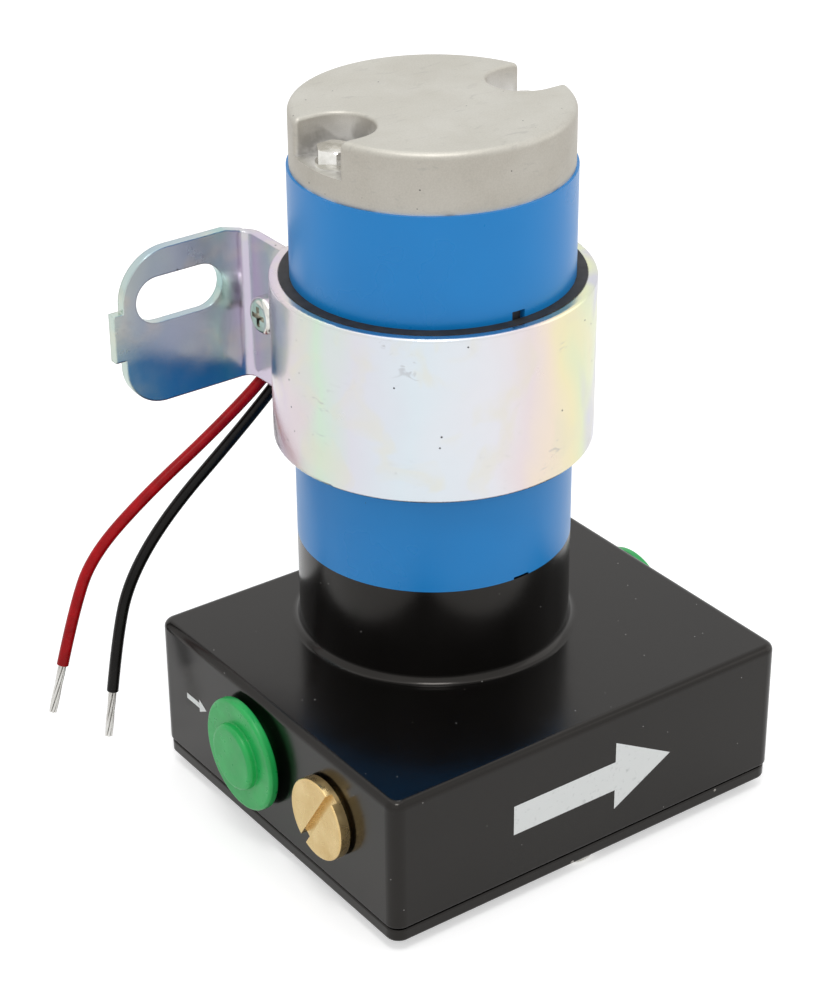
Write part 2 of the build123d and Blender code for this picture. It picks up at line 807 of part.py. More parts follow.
def bolt_washers():
    """Split lock washers under the two bolt heads."""
    washers = []
    for side in (-1, 1):
        x = side * bolt_circle_r
        washer = ring(lock_washer_r, bolt_r + fit_gap, notch_floor_z, lock_washer_thickness, x)
        split = Pos(x, axis_y - lock_washer_r, notch_floor_z) * washer_split()
        washers.append(washer - split)
    return Compound(washers)


def brush_plate_z():
    """Lower face of the brush plate, which sits against the cap's spigot."""
    return can_top_z - spigot_height - brush_plate_thickness - fit_gap


def brush_plate():
    """Insulating plate that carries the brush holders."""
    z = brush_plate_z()
    plate = ring(can_inner_r - brush_plate_gap, cap_hub_r + cover_gap, z, brush_plate_thickness)
    for side in (-1, 1):
        plate -= disc(bolt_r + cover_gap, z - 1, brush_plate_thickness + 2, side * bolt_circle_r)
    return plate


def brush_z():
    """Mid height of the brushes on the commutator."""
    return collar_z + brush_up


def brush_start_r():
    """How far the brush's working face is from the axis."""
    return commutator_r + brush_gap


def brush(side):
    """A carbon brush, hollowed to the commutator's curve."""
    low_r = brush_start_r() - brush_face_cut
    high_r = brush_start_r() + brush_length
    half = brush_width / 2
    z0 = brush_z() - brush_height / 2
    ends = sorted((axis_y + side * low_r, axis_y + side * high_r))
    body = slab(-half, half, ends[0], ends[1], z0, z0 + brush_height)
    return body - disc(brush_start_r(), z0 - 1, brush_height + 2)


def holder_end_r():
    """Inner side of the brush holder's end wall."""
    return brush_start_r() + brush_length + brush_spring_length


def brush_holder(side):
    """A folded brass box under the brush plate, open towards the commutator."""
    half = brush_width / 2 + brush_gap
    z0 = brush_z() - brush_height / 2 - brush_gap
    z1 = brush_z() + brush_height / 2 + brush_gap
    outer_ends = sorted((axis_y + side * holder_start_r, axis_y + side * (holder_end_r() + holder_wall)))
    inner_ends = sorted((axis_y + side * (holder_start_r - 1), axis_y + side * holder_end_r()))
    outer = slab(-half - holder_wall, half + holder_wall, outer_ends[0], outer_ends[1],
                 z0 - holder_wall, brush_plate_z() - fit_gap)
    return outer - slab(-half, half, inner_ends[0], inner_ends[1], z0, z1)


def brush_spring(side):
    """A small coil spring behind one brush."""
    start = brush_start_r() + brush_length + fit_gap
    spring = coil(brush_coil_wire_r, brush_coil_r, brush_coil_turns, brush_spring_length - 2 * fit_gap)
    return Pos(0, axis_y + side * start, brush_z()) * Rot(-side * 90, 0, 0) * spring


def bend_corners(face, x, y):
    """A flat outline's corners at a place and its mirror image."""
    return face.vertices().filter_by(lambda v: abs(abs(v.X) - x) < fit_gap and abs(v.Y - y) < fit_gap)


def band_outline():
    """The bent strip seen from above, with the motor's axis at the centre."""
    inner_r = can_r + liner_thickness
    outer_r = inner_r + sheet_thickness
    ear_in = ear_half_gap - sheet_thickness
    foot_front = bracket_reach - sheet_thickness
    face = Circle(outer_r) - Pos(0, outer_r) * Rectangle(2 * ear_in, 2 * outer_r)
    for side in (-1, 1):
        ear_x = side * (ear_half_gap - sheet_thickness / 2)
        face += Pos(ear_x, bracket_reach / 2) * Rectangle(sheet_thickness, bracket_reach)
        foot_x = side * (ear_in + foot_half_span) / 2
        foot_y = bracket_reach - sheet_thickness / 2
        face += Pos(foot_x, foot_y) * Rectangle(foot_half_span - ear_in, sheet_thickness)
    face -= Circle(inner_r)
    face = fillet(bend_corners(face, ear_half_gap, foot_front), ear_bend_r)
    face = fillet(bend_corners(face, ear_in, bracket_reach), ear_bend_r + sheet_thickness)
    neck_y = math.sqrt(outer_r ** 2 - ear_half_gap ** 2)
    return fillet(bend_corners(face, ear_half_gap, neck_y), neck_bend_r)


def clamp_band():
    """One bent strip: a band round the can, two ears behind it and a slotted foot on each ear."""
    strip = extrude(Pos(0, axis_y, band_z) * band_outline(), band_height)
    outer_r = can_r + liner_thickness + sheet_thickness
    round_edges = strip.edges().filter_by(
        lambda e: e.geom_type == GeomType.CIRCLE and abs(e.radius - outer_r) < fit_gap)
    strip = fillet(round_edges, band_edge_r)
    # The strip is a little narrower behind the band.
    trim_y = axis_y + math.sqrt(outer_r ** 2 - ear_half_gap ** 2)
    strip -= slab(-2 * foot_half_span, 2 * foot_half_span, trim_y, 1, band_z - 1, band_z + band_trim)
    strip -= slab(-ear_half_gap, ear_half_gap, trim_y, 1, ear_top_z(), band_top_z + 1)
    for side in (-1, 1):
        strip += foot_crest(side)
        strip = strip - foot_waste(side) + foot_tab(side)
        slot = extrude(SlotOverall(slot_length, slot_width), 2 * sheet_thickness, both=True)
        strip -= Pos(side * slot_spacing / 2, 0, 0) * Rot(90, 0, 0) * slot
    hole_r = clamp_screw_r + thread_gap
    return strip - rod_x(hole_r, -2 * ear_half_gap, 2 * ear_half_gap, clamp_screw_y, clamp_screw_z())


def ear_top_z():
    """Upper edge of the ears."""
    return band_top_z - ear_top_drop


def foot_crest(side):
    """The stretch of a foot that stands above the band's upper edge."""
    ends = sorted((side * ear_half_gap, side * foot_half_span))
    return slab(ends[0], ends[1], -sheet_thickness, 0, band_top_z - 1, band_top_z + foot_rise)


def foot_outline():
    """The right foot from the front: rounded outer corners and an upper edge that climbs from the ear."""
    low_z = band_z + band_trim
    top_z = band_top_z + foot_rise
    crest_x = ear_half_gap + foot_rise_run
    corners = [(ear_half_gap, low_z), (foot_half_span, low_z), (foot_half_span, top_z), (crest_x, top_z),
               (ear_half_gap, ear_top_z())]
    plate = make_face(Polyline(*corners, close=True))
    outer = plate.vertices().sort_by(Axis.X)[-2:].sort_by(Axis.Y)
    plate = fillet(outer[0], foot_low_corner_r)
    top_corner = plate.vertices().sort_by(Axis.Y)[-2:].sort_by(Axis.X)[-1]
    return fillet(top_corner, foot_top_corner_r)


def foot_waste(side):
    """What is cut away outside a foot's outline."""
    low_z = band_z - 1
    top_z = band_top_z + foot_rise + 1
    middle = Pos((ear_half_gap + foot_half_span) / 2, (low_z + top_z) / 2)
    around = middle * Rectangle(foot_half_span - ear_half_gap, top_z - low_z) - foot_outline()
    waste = Rot(90, 0, 0) * extrude(around, 2 * sheet_thickness, both=True)
    return waste if side > 0 else mirror(waste, Plane.YZ)


def foot_tab(side):
    """The short tab left at a foot's outer edge."""
    edge = side * foot_half_span
    ends = sorted((edge - side * foot_tab_out, edge + side * foot_tab_out))
    z0 = band_z + foot_tab_low
    return slab(ends[0], ends[1], -sheet_thickness, 0, z0, z0 + foot_tab_height)


def clamp_screw_z():
    """Level of the clamp screw's axis."""
    return band_z + clamp_screw_up


def band_liner():
    """Rubber strip between the can and the band."""
    outer_r = can_r + liner_thickness - fit_gap
    strip = ring(outer_r, can_r + fit_gap, band_z - liner_rise, band_height + 2 * liner_rise)
    gap = 2 * (ear_half_gap - sheet_thickness)
    return strip - slab(-gap / 2, gap / 2, axis_y, 0, band_z - 2 * liner_rise, band_top_z + 2 * liner_rise)


def clamp_screw():
    """Cross-head screw through both ears."""
    length = 2 * ear_half_gap + lock_washer_thickness + clamp_nut_height + clamp_screw_tail
    screw = pan_screw(
        clamp_head_r, clamp_head_height, clamp_screw_r, length, clamp_recess_r, clamp_recess_depth)
    return Pos(-ear_half_gap, clamp_screw_y, clamp_screw_z()) * Rot(0, -90, 0) * screw


def clamp_washer():
    """Split lock washer under the clamp nut."""
    place = Pos(ear_half_gap + lock_washer_thickness / 2, clamp_screw_y, clamp_screw_z())
    washer = Cylinder(lock_washer_r, lock_washer_thickness) - Cylinder(clamp_screw_r + fit_gap, 4)
    washer -= Pos(0, lock_washer_r, 0) * washer_split()
    return place * Rot(0, 90, 0) * washer


def clamp_nut():
    """Hex nut at the far end of the clamp screw."""
    nut = extrude(RegularPolygon(clamp_nut_across / 2, 6, major_radius=False), clamp_nut_height)
    nut -= Pos(0, 0, clamp_nut_height / 2) * Cylinder(clamp_screw_r + fit_gap, clamp_nut_height + 2)
    start_x = ear_half_gap + lock_washer_thickness
    return Pos(start_x, clamp_screw_y, clamp_screw_z()) * Rot(0, 90, 0) * nut


def lead_grommet():
    """Rubber grommet in the back of the can, with a hole for each lead."""
    inner_y = axis_y + can_inner_r
    outer_y = axis_y + can_r
    body = rod_y(grommet_neck_r, inner_y - grommet_inner_thickness, lead_exit_y, 0, lead_exit_z)
    flange = rod_y(grommet_flange_r, outer_y - 2, lead_exit_y, 0, lead_exit_z)
    flange -= disc(can_r + fit_gap, lead_exit_z - 2 * grommet_flange_r, 4 * grommet_flange_r)
    flange = fillet(flange.edges().sort_by(Axis.Y)[-1], grommet_edge_r)
    return body + flange


# Route of each lead, from the grommet's face down behind the clamp and out under the left ear.
red_lead_points = [
    (-lead_spacing / 2, lead_exit_y, lead_exit_z),
    (-2.2, -8.0, 24.0),
    (-2.4, -4.5, 19.9),
    (-3.4, -4.1, 10.5),
    (-6.6, -4.9, -5.0),
    (-10.8, -3.9, -17.5),
    (-15.8, -2.9, -25.8),
    (-32.5, -2.9, -36.9),
    (-50.2, -2.7, -47.0),
    (-64.8, -2.6, -57.8),
    (-70.4, -2.6, -69.4),
    (-74.8, -2.8, -83.4),
]
black_lead_points = [
    (lead_spacing / 2, lead_exit_y, lead_exit_z),
    (2.2, -8.4, 24.0),
    (2.0, -5.2, 19.6),
    (1.2, -4.9, 9.8),
    (-1.8, -5.4, -6.0),
    (-6.8, -4.9, -18.5),
    (-12.8, -3.9, -27.0),
    (-26.4, -3.9, -38.4),
    (-45.8, -3.9, -53.2),
    (-56.8, -3.9, -67.0),
    (-60.8, -3.9, -81.0),
    (-63.0, -3.9, -94.5),
]


def corner_radii(points):
    """The largest arc at each corner of a route: 0.45 of the shorter run, by the tangent of half the turn."""
    radii = []
    for before, here, after in zip(points, points[1:], points[2:]):
        run_in = Vector(*here) - Vector(*before)
        run_out = Vector(*after) - Vector(*here)
        turn = math.radians(run_in.get_angle(run_out))
        radii.append(0.45 * min(run_in.length, run_out.length) / math.tan(turn / 2))
    return radii


def lead(name, points):
    """An insulated lead as one tube along its route."""
    radii = corner_radii(points)
    path = FilletPolyline(*points, radius=radii)
    section = Plane(origin=path @ 0, z_dir=path % 0) * Circle(lead_r)
    tube = sweep(section, path=path)
    expected = math.pi * lead_r ** 2 * path.length
    print(name, "length", round(path.length, 1), "radii", [round(r, 1) for r in radii],
          "volume share", round(tube.volume / expected, 4))
    return tube


def lead_strands(points):
    """Bare tinned end of a lead."""
    way = (Vector(*points[-1]) - Vector(*points[-2])).normalized()
    middle = Vector(*points[-1]) + way * (strand_length / 2)
    return Plane(origin=middle, z_dir=way) * Cylinder(strand_r, strand_length)


def build():
    """Every piece by its node's name."""
    pieces = {
        "pump_body": pump_body(),
        "motor_collar": motor_collar(),
        "cover_plate": cover_plate(),
        "cover_gasket": cover_gasket(),
        "cover_screws": cover_screws(),
        "inner_rotor": inner_rotor(),
        "outer_rotor": outer_rotor(),
        "drive_pin": drive_pin(),
        "inlet_plug": shipping_plug(-1),
        "outlet_plug": shipping_plug(1),
        "relief_cap": relief_cap(),
        "relief_cap_seal": relief_cap_seal(),
        "relief_plunger": relief_plunger(),
        "relief_spring": relief_spring(),
        "lower_bushing": lower_bushing(),
        "shaft_seal": shaft_seal(),
        "upper_bushing": upper_bushing(),
        "armature_shaft": armature_shaft(),
        "armature_core": armature_core(),
        "armature_windings": armature_windings(),
        "commutator": commutator(),
        "lower_thrust_washer": thrust_washer(0),
        "upper_thrust_washer": thrust_washer(1),
        "front_magnet": magnet(-1),
        "rear_magnet": magnet(1),
        "motor_can": motor_can(),
        "can_seal": can_seal(),
        "end_cap": end_cap(),
        "through_bolts": through_bolts(),
        "bolt_washers": bolt_washers(),
        "brush_plate": brush_plate(),
        "front_brush_holder": brush_holder(-1),
        "rear_brush_holder": brush_holder(1),
        "front_brush": brush(-1),
        "rear_brush": brush(1),
        "front_brush_spring": brush_spring(-1),
        "rear_brush_spring": brush_spring(1),
        "clamp_band": clamp_band(),
        "band_liner": band_liner(),
        "clamp_screw": clamp_screw(),
        "clamp_washer": clamp_washer(),
        "clamp_nut": clamp_nut(),
        "lead_grommet": lead_grommet(),
        "red_lead": lead("red_lead", red_lead_points),
        "black_lead": lead("black_lead", black_lead_points),
        "red_lead_strands": lead_strands(red_lead_points),
        "black_lead_strands": lead_strands(black_lead_points),
    }
    return pieces


os.makedirs("parts", exist_ok=True)
for node, shape in build().items():
    export_step(shape, f"parts/{node}.step")
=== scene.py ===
import json
import math
import bpy
from mathutils import Matrix, Vector


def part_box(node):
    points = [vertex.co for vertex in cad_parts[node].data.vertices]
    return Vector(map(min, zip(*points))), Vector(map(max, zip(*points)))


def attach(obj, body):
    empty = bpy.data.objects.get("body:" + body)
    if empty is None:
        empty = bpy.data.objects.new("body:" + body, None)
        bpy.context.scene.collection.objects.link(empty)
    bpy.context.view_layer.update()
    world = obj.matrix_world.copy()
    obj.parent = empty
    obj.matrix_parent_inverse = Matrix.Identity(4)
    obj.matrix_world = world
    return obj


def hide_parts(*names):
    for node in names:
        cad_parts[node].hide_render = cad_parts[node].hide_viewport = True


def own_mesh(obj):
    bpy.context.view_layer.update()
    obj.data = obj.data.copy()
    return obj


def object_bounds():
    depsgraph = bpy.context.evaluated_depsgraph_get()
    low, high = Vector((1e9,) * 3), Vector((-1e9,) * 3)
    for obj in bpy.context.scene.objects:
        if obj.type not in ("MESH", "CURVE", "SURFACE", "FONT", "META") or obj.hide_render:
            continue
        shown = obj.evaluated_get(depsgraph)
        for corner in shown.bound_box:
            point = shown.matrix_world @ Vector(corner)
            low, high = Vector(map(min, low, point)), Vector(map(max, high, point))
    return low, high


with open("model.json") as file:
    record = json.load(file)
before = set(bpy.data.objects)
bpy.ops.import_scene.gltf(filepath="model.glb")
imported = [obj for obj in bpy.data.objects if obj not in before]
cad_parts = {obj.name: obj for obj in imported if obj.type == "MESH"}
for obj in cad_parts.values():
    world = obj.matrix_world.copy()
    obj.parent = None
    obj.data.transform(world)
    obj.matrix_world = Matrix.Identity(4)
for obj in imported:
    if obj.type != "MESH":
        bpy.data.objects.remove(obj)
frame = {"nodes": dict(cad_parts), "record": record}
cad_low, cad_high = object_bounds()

# Electric fuel pump on a white floor. Metres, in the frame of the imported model.

# Camera, as fitted to the photograph
camera_place = (-0.300119, -0.457298, 0.235923)
camera_azimuth = 35.537
camera_elevation = 28.931
camera_roll = -0.472
camera_focal_px = 2572.155
photo_height_px = 1000
sensor_size = 36.0

# Leads: the route's points, as in the part's source
lead_diameter = 0.0028
lead_steps = 10
lead_ring_steps = 5
spline_order = 3
red_route = [
    (-0.0022, -0.0128, 0.0240),
    (-0.0022, -0.0080, 0.0240),
    (-0.0024, -0.0045, 0.0199),
    (-0.0034, -0.0041, 0.0105),
    (-0.0066, -0.0049, -0.0050),
    (-0.0108, -0.0039, -0.0175),
    (-0.0158, -0.0029, -0.0258),
    (-0.0325, -0.0029, -0.0369),
    (-0.0502, -0.0027, -0.0470),
    (-0.0648, -0.0026, -0.0578),
    (-0.0704, -0.0026, -0.0694),
    (-0.0748, -0.0028, -0.0834),
]
black_route = [
    (0.0022, -0.0128, 0.0240),
    (0.0022, -0.0084, 0.0240),
    (0.0020, -0.0052, 0.0196),
    (0.0012, -0.0049, 0.0098),
    (-0.0018, -0.0054, -0.0060),
    (-0.0068, -0.0049, -0.0185),
    (-0.0128, -0.0039, -0.0270),
    (-0.0264, -0.0039, -0.0384),
    (-0.0458, -0.0039, -0.0532),
    (-0.0568, -0.0039, -0.0670),
    (-0.0608, -0.0039, -0.0810),
    (-0.0630, -0.0039, -0.0945),
]

# Bare ends: strands laid round a middle one; the twist is in turns over the whole length
strand_length = 0.012
strand_bundle_r = 0.00066
strand_r = 0.0003
strand_ring_steps = 3
strands_round = 6
strand_steps = 8
strand_twist = 0.3

# Springs: wire radius and turns
spring_ring_points = 10
spring_steps_a_turn = 24
relief_wire_r = 0.0006
relief_turns = 7
brush_wire_r = 0.0003
brush_turns = 6

# The clamp's tint is laid out along the photograph's rightward way: 0 at the foot, 1 at the far edge
photo_right = (0.8137, -0.5812)
band_radius = 0.0356
motor_axis_y = -0.0456
tint_span = 3 * band_radius
tint_at_band_middle = 0.667
tint_sway = 0.16

# Materials: where noise starts and ends as a patch, and the radius and samples of softened edges
patch_low = 0.3
patch_high = 0.8
soft_edge_r = 0.0006
soft_edge_samples = 6
shelter_samples = 8

# Printed arrows
print_height = 0.00005
inlet_arrow_length = 0.0085
inlet_arrow_back = 0.0234
front_arrow_length = 0.044
front_arrow_up = 0.0156

# Floor, surroundings and lamps
floor_half = 6.0
floor_white = 0.8
floor_glow_to_camera = 0.48
floor_glow_in_gloss = 0.27
world_as_light = 0.65
world_lift_when_seen = 0.35
lamp_target = (0, -0.045, -0.03)


def surface(name, color, roughness, metallic=0.0, specular=0.5):
    """A new material: its node tree and its shader node."""
    material = bpy.data.materials.new(name)
    material.use_nodes = True
    tree = material.node_tree
    shader = tree.nodes["Principled BSDF"]
    shader.inputs["Base Color"].default_value = (*color, 1.0)
    shader.inputs["Roughness"].default_value = roughness
    shader.inputs["Metallic"].default_value = metallic
    shader.inputs["Specular IOR Level"].default_value = specular
    return material, tree, shader


def coords(tree, stretch=(1, 1, 1)):
    """Object coordinates in metres, stretched along the axes."""
    source = tree.nodes.new("ShaderNodeTexCoord")
    mapping = tree.nodes.new("ShaderNodeMapping")
    mapping.inputs["Scale"].default_value = stretch
    tree.links.new(source.outputs["Object"], mapping.inputs["Vector"])
    return mapping.outputs["Vector"]


def noise(tree, size, detail=3.0, stretch=(1, 1, 1), distortion=0.0):
    """Noise whose features are about that size in metres."""
    node = tree.nodes.new("ShaderNodeTexNoise")
    node.inputs["Scale"].default_value = 1 / size
    node.inputs["Detail"].default_value = detail
    node.inputs["Distortion"].default_value = distortion
    tree.links.new(coords(tree, stretch), node.inputs["Vector"])
    return node.outputs["Fac"]


def ramp(tree, value, stops):
    """Colours along a value, from (position, colour) stops."""
    node = tree.nodes.new("ShaderNodeValToRGB")
    elements = node.color_ramp.elements
    while len(elements) < len(stops):
        elements.new(0.5)
    for element, (position, color) in zip(elements, stops):
        element.position = position
        element.color = (*color, 1.0)
    tree.links.new(value, node.inputs["Fac"])
    return node.outputs["Color"]


def grey_ramp(tree, value, low, high, dark=0.0, light=1.0):
    """A value stretched so that low gives dark and high gives light."""
    return ramp(tree, value, [(low, (dark,) * 3), (high, (light,) * 3)])


def math_node(tree, operation, a, b):
    """One sum on two values, each a socket or a number."""
    node = tree.nodes.new("ShaderNodeMath")
    node.operation = operation
    for socket, value in zip(node.inputs, (a, b)):
        if isinstance(value, (int, float)):
            socket.default_value = value
        else:
            tree.links.new(value, socket)
    return node.outputs["Value"]


def mix(tree, factor, a, b, blend="MIX"):
    """Two colours mixed by a factor, each a socket or a colour."""
    node = tree.nodes.new("ShaderNodeMix")
    node.data_type = "RGBA"
    node.blend_type = blend
    color_a, color_b, result = node.inputs[6], node.inputs[7], node.outputs[2]
    for socket, value in zip((node.inputs["Factor"], color_a, color_b), (factor, a, b)):
        if isinstance(value, (int, float)):
            socket.default_value = value
        elif isinstance(value, tuple):
            socket.default_value = (*value, 1.0)
        else:
            tree.links.new(value, socket)
    return result


def bump(tree, shader, height, depth, strength, edge_r=0.0):
    """Relief of that depth in metres from a height value, over edges softened by that radius."""
    node = tree.nodes.new("ShaderNodeBump")
    node.inputs["Strength"].default_value = strength
    node.inputs["Distance"].default_value = depth
    tree.links.new(height, node.inputs["Height"])
    tree.links.new(node.outputs["Normal"], shader.inputs["Normal"])
    if edge_r > 0:
        edge = tree.nodes.new("ShaderNodeBevel")
        edge.samples = soft_edge_samples
        edge.inputs["Radius"].default_value = edge_r
        tree.links.new(edge.outputs["Normal"], node.inputs["Normal"])


def color_with(tree, shader, color):
    """The shader's base colour, from a socket."""
    tree.links.new(color, shader.inputs["Base Color"])


def roughen(tree, shader, patches, low, high, top=patch_high):
    """Roughness that goes from low to high with the patches of a noise."""
    spread = grey_ramp(tree, patches, patch_low, top, low, high)
    tree.links.new(spread, shader.inputs["Roughness"])


def specks(tree, size, share, radius):
    """A mask of round specks: that share of the cells hold one, and the radius is in cells."""
    node = tree.nodes.new("ShaderNodeTexVoronoi")
    node.inputs["Scale"].default_value = 1 / size
    tree.links.new(coords(tree), node.inputs["Vector"])
    split = tree.nodes.new("ShaderNodeSeparateColor")
    tree.links.new(node.outputs["Color"], split.inputs["Color"])
    chosen = math_node(tree, "LESS_THAN", split.outputs["Red"], share)
    near = math_node(tree, "LESS_THAN", node.outputs["Distance"], radius)
    return math_node(tree, "MULTIPLY", chosen, near)


def facing_up(tree):
    """How far a surface faces up: 0 on walls, 1 on a level top."""
    source = tree.nodes.new("ShaderNodeNewGeometry")
    split = tree.nodes.new("ShaderNodeSeparateXYZ")
    tree.links.new(source.outputs["Normal"], split.inputs["Vector"])
    return math_node(tree, "MAXIMUM", split.outputs["Z"], 0.0)


def shelter_for_painted_light(tree, reach):
    """How far a surface is shut in by others within a reach: 0 in the open, 1 deep in a notch."""
    source = tree.nodes.new("ShaderNodeAmbientOcclusion")
    source.samples = shelter_samples
    source.inputs["Distance"].default_value = reach
    return grey_ramp(tree, source.outputs["AO"], low=0.45, high=0.85, dark=1.0, light=0.0)


def across_band(tree):
    """Where a point of the clamp lies across the picture: 0 at the foot, 0.33 and 1 at the band's edges."""
    split = tree.nodes.new("ShaderNodeSeparateXYZ")
    tree.links.new(coords(tree), split.inputs["Vector"])
    right = math_node(tree, "MULTIPLY", split.outputs["X"], photo_right[0] / tint_span)
    back = math_node(tree, "ADD", split.outputs["Y"], -motor_axis_y)
    back = math_node(tree, "MULTIPLY", back, photo_right[1] / tint_span)
    return math_node(tree, "ADD", math_node(tree, "ADD", right, back), tint_at_band_middle)


def black_paint(name, nick_share):
    """Gloss black powder coat with a slight orange peel, dust specks and pale nicks."""
    material, tree, shader = surface(name, (0.0022, 0.002, 0.002), roughness=0.14, specular=0.38)
    shader.inputs["Specular Tint"].default_value = (1.0, 0.94, 0.88, 1.0)
    cloudy = noise(tree, size=0.02)
    shade = ramp(tree, cloudy, [(0.3, (0.0014, 0.0013, 0.0013)), (0.75, (0.0030, 0.0027, 0.0025))])
    dust = specks(tree, size=0.0024, share=0.14, radius=0.055)
    dusty = mix(tree, dust, shade, (0.34, 0.33, 0.32))
    nicks = specks(tree, size=0.006, share=nick_share, radius=0.10)
    color_with(tree, shader, mix(tree, nicks, dusty, (0.35, 0.33, 0.31)))
    roughen(tree, shader, noise(tree, size=0.012), low=0.17, high=0.24)
    bump(tree, shader, noise(tree, size=0.002, detail=2.0), depth=0.00001, strength=0.3)
    return material


def blue_paint(name):
    """Semi-gloss blue enamel on the rolled tube."""
    material, tree, shader = surface(name, (0.003, 0.235, 0.65), roughness=0.3, specular=0.42)
    cloudy = noise(tree, size=0.03, detail=2.0)
    shade = ramp(tree, cloudy, [(0.3, (0.001, 0.225, 0.62)), (0.75, (0.005, 0.255, 0.68))])
    dust = specks(tree, size=0.0035, share=0.09, radius=0.04)
    color_with(tree, shader, mix(tree, dust, shade, (0.005, 0.06, 0.2)))
    roughen(tree, shader, noise(tree, size=0.02), low=0.26, high=0.34)
    bump(tree, shader, noise(tree, size=0.0025, detail=1.0), depth=0.00001, strength=0.2)
    return material


def iridescent_zinc(name):
    """Bright zinc plate whose tint runs from pink over bluish white to yellow, with rubbing marks; on the
    foot its colour is darker and bluer, a painted reflection.
    """
    material, tree, shader = surface(name, (0.8, 0.8, 0.84), roughness=0.22, metallic=1.0)
    wander = noise(tree, size=0.02, detail=2.0, stretch=(1, 1, 0.6), distortion=0.5)
    sway = math_node(tree, "MULTIPLY", wander, tint_sway)
    place = math_node(tree, "ADD", math_node(tree, "ADD", across_band(tree), sway), -tint_sway / 2)
    # Painted reflection: the stops below 0.33 lie on the foot and are darker and bluer than the band's, for
    # the band and blue can that the foot mirrors.
    tint = ramp(tree, place, [
        (0.03, (0.56, 0.66, 0.60)),
        (0.10, (0.43, 0.54, 0.60)),
        (0.17, (0.46, 0.54, 0.58)),
        (0.215, (0.40, 0.58, 0.56)),
        (0.25, (0.50, 0.57, 0.59)),
        (0.285, (0.60, 0.54, 0.66)),
        (0.34, (0.66, 0.58, 0.68)),
        (0.37, (0.73, 0.65, 0.68)),
        (0.43, (0.63, 0.77, 0.64)),
        (0.50, (0.71, 0.71, 0.77)),
        (0.64, (0.70, 0.77, 0.82)),
        (0.78, (0.76, 0.76, 0.80)),
        (0.85, (0.79, 0.70, 0.71)),
        (0.90, (0.86, 0.74, 0.61)),
        (0.94, (0.86, 0.79, 0.51)),
        (0.97, (0.76, 0.80, 0.54)),
        (1.00, (0.64, 0.64, 0.70)),
    ])
    blots = noise(tree, size=0.012, detail=3.0, distortion=0.8)
    patches = grey_ramp(tree, blots, low=0.52, high=0.66, light=0.35)
    tint = mix(tree, patches, tint, (0.76, 0.72, 0.56))
    rubbing = noise(tree, size=0.004, detail=5.0, stretch=(1, 1, 2.2), distortion=1.6)
    scuffs = grey_ramp(tree, rubbing, low=0.60, high=0.70)
    where = grey_ramp(tree, noise(tree, size=0.011, detail=2.0), low=0.56, high=0.66, light=0.45)
    worn = mix(tree, math_node(tree, "MULTIPLY", scuffs, where), tint, (0.42, 0.42, 0.44))
    pits = specks(tree, size=0.004, share=0.45, radius=0.055)
    color_with(tree, shader, mix(tree, pits, worn, (0.06, 0.06, 0.07)))
    roughen(tree, shader, noise(tree, size=0.006, detail=4.0), low=0.16, high=0.3)
    grain = noise(tree, size=0.0009, detail=3.0, stretch=(1, 1, 3.0))
    bump(tree, shader, grain, depth=0.00001, strength=0.3, edge_r=soft_edge_r)
    return material


def pale_zinc(name):
    """Pale zinc plate on screws, bolts and nuts."""
    material, tree, shader = surface(name, (0.74, 0.73, 0.68), roughness=0.25, metallic=1.0)
    stain = noise(tree, size=0.0025, detail=4.0)
    color_with(tree, shader, ramp(tree, stain, [(0.35, (0.68, 0.67, 0.62)), (0.65, (0.88, 0.87, 0.83))]))
    roughen(tree, shader, noise(tree, size=0.0012, detail=4.0), low=0.08, high=0.26, top=0.75)
    bump(tree, shader, noise(tree, size=0.0008, detail=3.0), depth=0.00002, strength=0.4)
    return material


def cast_aluminium(name):
    """Bead-blasted casting: fine grain, faint stains and a few dark pits, with painted shade on its walls
    and patchy painted light and shade in its notches.
    """
    material, tree, shader = surface(name, (0.6, 0.58, 0.53), roughness=0.5, metallic=0.7, specular=0.4)
    clouds = noise(tree, size=0.014, detail=5.0, distortion=0.5)
    stain = ramp(tree, clouds, [(0.3, (0.53, 0.51, 0.45)), (0.7, (0.60, 0.585, 0.53))])
    fine = noise(tree, size=0.00035, detail=2.0)
    blasted = ramp(tree, fine, [(0.35, (0.42, 0.405, 0.36)), (0.65, (0.72, 0.705, 0.65))])
    grain = mix(tree, 0.14, stain, blasted)
    # Painted shade: walls take a colour about a tenth darker than level tops.
    up = facing_up(tree)
    walls = mix(tree, 1.0, grain, (0.90, 0.875, 0.86), "MULTIPLY")
    grain = mix(tree, up, walls, grain)
    streaks = noise(tree, size=0.006, detail=5.0, stretch=(1, 2.5, 4.0), distortion=1.0)
    rubbed = grey_ramp(tree, streaks, low=0.60, high=0.72)
    grain = mix(tree, math_node(tree, "MULTIPLY", rubbed, 0.35), grain, (0.38, 0.37, 0.34))
    # Painted light and shade: where the surface is shut in by the notches, its colour turns to the bright
    # and dark patches of the ramp below.
    patches = noise(tree, size=0.006, detail=3.0, distortion=0.3)
    notch = ramp(tree, patches, [(0.36, (0.42, 0.41, 0.40)), (0.54, (0.92, 0.91, 0.90))])
    grain = mix(tree, math_node(tree, "MULTIPLY", shelter_for_painted_light(tree, reach=0.009), 0.9), grain, notch)
    pits = specks(tree, size=0.0035, share=0.40, radius=0.055)
    color_with(tree, shader, mix(tree, pits, grain, (0.16, 0.15, 0.14)))
    roughen(tree, shader, noise(tree, size=0.004, detail=4.0), low=0.42, high=0.56)
    bump(tree, shader, noise(tree, size=0.00035, detail=3.0), depth=0.00003, strength=0.32)
    return material


